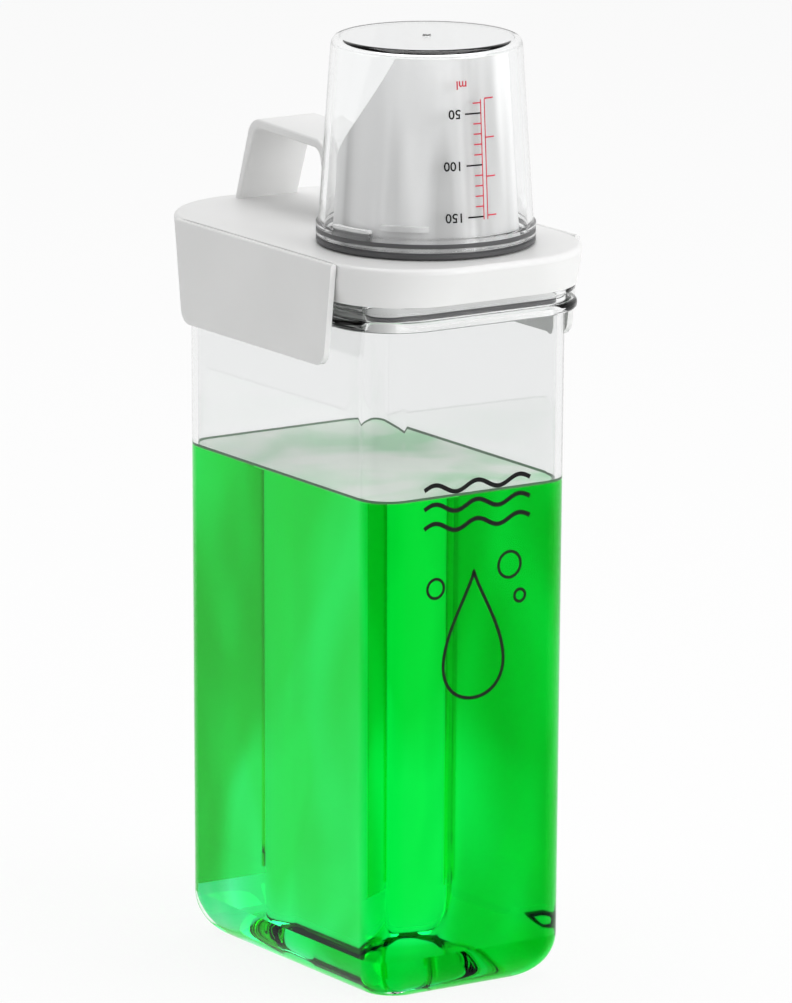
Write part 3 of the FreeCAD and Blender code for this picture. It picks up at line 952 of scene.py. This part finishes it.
class DISPENSER_OT_scale(bpy.types.Operator):
    """Print the volume scale on the cup"""
    bl_idname = "dispenser.print_scale"
    bl_label = "Cup scale"

    def execute(self, context):
        p = sizes_of("print")
        tones = sizes_of("finish")
        line = p.tick_line
        left_rail, right_rail = -0.0006, 0.0008
        top_tick, tick_step, rail_long = 0.2884, 0.00324, 0.0376
        short_tick, long_tick = -0.0034, -0.0062
        second_tick, second_step = 0.0034, 0.0122
        rail_rise, second_rise = 0.001, 0.0012
        figure_across, unit_across, unit_height = -0.0075, -0.0052, 0.2942
        first_volume, volume_step, long_every = 40, 10, 50
        red, black = [], []
        for step in range(12):
            height = top_tick - tick_step * step
            long_mark = (first_volume + volume_step * step) % long_every == 0
            left = long_tick if long_mark else short_tick
            stations = [(left + (left_rail - left) * part / 4, height) for part in range(5)]
            (black if long_mark else red).append(ribbon(stations, line * (1.2 if long_mark else 1.0),
                                                        False, on_cup))
        for across in (left_rail, right_rail):
            stations = [(across, top_tick + rail_rise - rail_long * part / 12) for part in range(13)]
            red.append(ribbon(stations, line * 0.8, False, on_cup))
        for step in range(4):
            height = top_tick + second_rise - second_step * step
            stations = [(right_rail + second_tick * part / 4, height) for part in range(5)]
            red.append(ribbon(stations, line, False, on_cup))
        for volume in (50, 100, 150):
            height = top_tick - tick_step * (volume - first_volume) / volume_step
            black.append(figure_part(str(volume), p.figure_height, figure_across, height))
        red.append(figure_part("ml", p.figure_height * 0.9, unit_across, unit_height))
        place("cup_scale_red", join_meshes("cup_scale_red", red), ink_material("red_ink", tones.red),
              "cup")
        place("cup_scale_black", join_meshes("cup_scale_black", black),
              ink_material("black_scale_ink", tones.black), "cup")
        return {"FINISHED"}


def circle_line(across, height, radius, steps=48):
    """Outline of a round bubble."""
    return [(across + radius * math.cos(2 * math.pi * step / steps),
             height + radius * math.sin(2 * math.pi * step / steps)) for step in range(steps)]


def drop_line(across, height, size, steps=64):
    """Outline of a drop with its point up."""
    taper, tall = 1.6, 1.25
    line = []
    for step in range(steps):
        turn = 2 * math.pi * step / steps
        wide = size * math.sin(turn) * math.sin(turn / 2) ** taper
        line.append((across + wide, height + size * tall * math.cos(turn)))
    return line


def wave_line(low, high, height, rise, waves, steps=60):
    """Line of a number of even waves from one side to the other."""
    return [(low + (high - low) * step / steps,
             height + rise * math.sin(2 * math.pi * waves * step / steps)) for step in range(steps + 1)]


class DISPENSER_OT_front(bpy.types.Operator):
    """Print a plain drop, bubbles and waves on the bottle's front"""
    bl_idname = "dispenser.print_front"
    bl_label = "Front print"

    def execute(self, context):
        p = sizes_of("print")
        line = p.front_line
        drop_across, drop_height, drop_size = -0.001, 0.118, 0.0165
        wave_half, wave_top, wave_step, wave_rise, waves = 0.02, 0.1665, 0.0062, 0.0014, 2.5
        parts = [ribbon(drop_line(drop_across, drop_height, drop_size), line, True, on_front)]
        bubbles = ((0.0125, 0.139, 0.0042), (-0.0155, 0.1345, 0.0031), (0.0165, 0.1285, 0.002))
        for across, height, radius in bubbles:
            parts.append(ribbon(circle_line(across, height, radius), line * 0.85, True, on_front))
        for index in range(3):
            wave = wave_line(-wave_half, wave_half, wave_top - wave_step * index, wave_rise, waves)
            parts.append(ribbon(wave, line * 1.3, False, on_front))
        ink = ink_material("black_front_ink", sizes_of("finish").black)
        place("front_print", join_meshes("front_print", parts), ink, "bottle")
        return {"FINISHED"}


# Stage

def floor_material():
    """Pale floor that reads as white to the eye and through clear walls, and keeps its shadow."""
    material, tree, shader = new_material("studio_floor")
    grain = place_group(tree, moulding_grain(), Scale=400.0, Drift=3.0, Gloss=0.6)
    tone = sizes_of("finish").floor
    mix_colours(tree, shader, grain.outputs["Tone"], tone, tinted(tone, 0.98))
    tree.links.new(grain.outputs["Roughness"], shader.inputs["Roughness"])
    shader.inputs["Specular IOR Level"].default_value = DULL_SPECULAR
    rays = tree.nodes.new("ShaderNodeLightPath").outputs
    seen = add_math(tree, "MAXIMUM", rays["Is Camera Ray"], rays["Is Glossy Ray"])
    seen = add_math(tree, "MAXIMUM", seen, rays["Is Transmission Ray"])
    white = add_node(tree, "ShaderNodeEmission", Color=WHITE, Strength=1.0)
    mix_shaders(tree, add_math(tree, "MULTIPLY", seen, WHITE_SHARE), shader, white, "Material Output")
    return material


def studio_world(horizon, ceiling):
    """White to the eye and through clear walls; as light, bright round the horizon and dim overhead."""
    world = bpy.data.worlds.new("studio")
    world.use_nodes = True
    tree = world.node_tree
    around = tree.nodes["Background"]
    place_on = tree.nodes.new("ShaderNodeTexCoord")
    split = add_node(tree, "ShaderNodeSeparateXYZ", {"Vector": (place_on, "Generated")})
    fade = tree.nodes.new("ShaderNodeMapRange")
    fade.interpolation_type = "SMOOTHSTEP"
    fade_low, fade_high = 0.3, 0.7
    for label, value in (("From Min", fade_low), ("From Max", fade_high),
                         ("To Min", horizon), ("To Max", ceiling)):
        fade.inputs[label].default_value = value
    tree.links.new(split.outputs["Z"], fade.inputs["Value"])
    tree.links.new(fade.outputs["Result"], around.inputs["Strength"])
    around.inputs["Color"].default_value = WHITE
    white = add_node(tree, "ShaderNodeBackground", Color=WHITE, Strength=1.0)
    rays = tree.nodes.new("ShaderNodeLightPath").outputs
    through = add_math(tree, "SUBTRACT", rays["Is Transmission Ray"], rays["Diffuse Depth"], clamp=True)
    seen = add_math(tree, "MAXIMUM", rays["Is Camera Ray"], through)
    mix_shaders(tree, seen, around, white, "World Output")
    bpy.context.scene.world = world


def soft_box(name, position, target, wide, high, power):
    """Wide lamp that faces a target."""
    lamp = bpy.data.lights.new(name, "AREA")
    lamp.shape = "RECTANGLE"
    lamp.size = wide
    lamp.size_y = high
    lamp.energy = power
    box = bpy.data.objects.new(name, lamp)
    box.location = position
    box.rotation_mode = "QUATERNION"
    box.rotation_quaternion = (Vector(target) - Vector(position)).to_track_quat("-Z", "Y")
    bpy.context.scene.collection.objects.link(box)


class DISPENSER_OT_stage(bpy.types.Operator):
    """Set floor, light and camera"""
    bl_idname = "dispenser.set_stage"
    bl_label = "Stage"

    def execute(self, context):
        half = 8.0
        drop = -0.0002
        mesh = bpy.data.meshes.new("studio_floor")
        corners = [(-half, -half, drop), (half, -half, drop), (half, half, drop), (-half, half, drop)]
        mesh.from_pydata(corners, [], [(0, 1, 2, 3)])
        mesh.materials.append(floor_material())
        floor = bpy.data.objects.new("studio_floor", mesh)
        context.scene.collection.objects.link(floor)
        studio_world(horizon=0.8, ceiling=0.12)
        middle = (0.0, 0.0, 0.16)
        soft_box("key_softbox", (1.9, 0.9, 1.0), middle, 1.4, 1.6, 26.0)
        soft_box("top_softbox", (-0.2, 0.2, 2.0), middle, 1.8, 1.8, 28.0)
        soft_box("fill_softbox", (-0.9, -1.9, 0.9), middle, 1.2, 1.4, 3.0)
        lens = bpy.data.cameras.new("photo_camera")
        lens.sensor_width = 36.0
        lens.lens = 308.05
        lens.clip_start = 0.05
        lens.clip_end = 60.0
        camera = bpy.data.objects.new("photo_camera", lens)
        right = Vector((0.55077, 0.83465, 0.00392))
        up = Vector((-0.18445, 0.11713, 0.97584))
        back = Vector((0.81402, -0.53819, 0.21846))
        camera.matrix_world = Matrix.Translation((2.24231, -1.47458, 0.75063)) @ Matrix(
            (right, up, back)).transposed().to_4x4()
        context.scene.collection.objects.link(camera)
        context.scene.camera = camera
        context.scene.view_settings.view_transform = "Standard"
        context.scene.cycles.max_bounces = BOUNCES
        context.scene.cycles.transmission_bounces = BOUNCES
        return {"FINISHED"}


class DISPENSER_PT_pieces(bpy.types.Panel):
    """Pieces of the dispenser"""
    bl_idname = "DISPENSER_PT_pieces"
    bl_label = "Detergent dispenser"
    bl_space_type = "VIEW_3D"
    bl_region_type = "UI"
    bl_category = "Dispenser"

    def draw(self, context):
        for operator in OPERATORS:
            self.layout.operator(operator.bl_idname)


GROUPS = {"bottle": BottleSizes, "liquid": LiquidSizes, "cup": CupSizes, "print": PrintSizes,
          "finish": FinishColours}
OPERATORS = (DISPENSER_OT_bottle, DISPENSER_OT_liquid, DISPENSER_OT_lid, DISPENSER_OT_spout,
             DISPENSER_OT_seals, DISPENSER_OT_cup, DISPENSER_OT_scale, DISPENSER_OT_front,
             DISPENSER_OT_stage)


def register():
    for name, group in GROUPS.items():
        bpy.utils.register_class(group)
        setattr(bpy.types.Scene, "dispenser_" + name, bpy.props.PointerProperty(type=group))
    for operator in OPERATORS:
        bpy.utils.register_class(operator)
    bpy.utils.register_class(DISPENSER_PT_pieces)


def unregister():
    bpy.utils.unregister_class(DISPENSER_PT_pieces)
    for operator in reversed(OPERATORS):
        bpy.utils.unregister_class(operator)
    for name, group in GROUPS.items():
        delattr(bpy.types.Scene, "dispenser_" + name)
        bpy.utils.unregister_class(group)


def main():
    register()
    bpy.ops.dispenser.build_bottle()
    bpy.ops.dispenser.fill_detergent()
    bpy.ops.dispenser.finish_lid()
    bpy.ops.dispenser.finish_spout()
    bpy.ops.dispenser.finish_seals()
    bpy.ops.dispenser.build_cup()
    bpy.ops.dispenser.print_scale()
    bpy.ops.dispenser.print_front()
    bpy.ops.dispenser.set_stage()


if __name__ == "__main__":
    main()
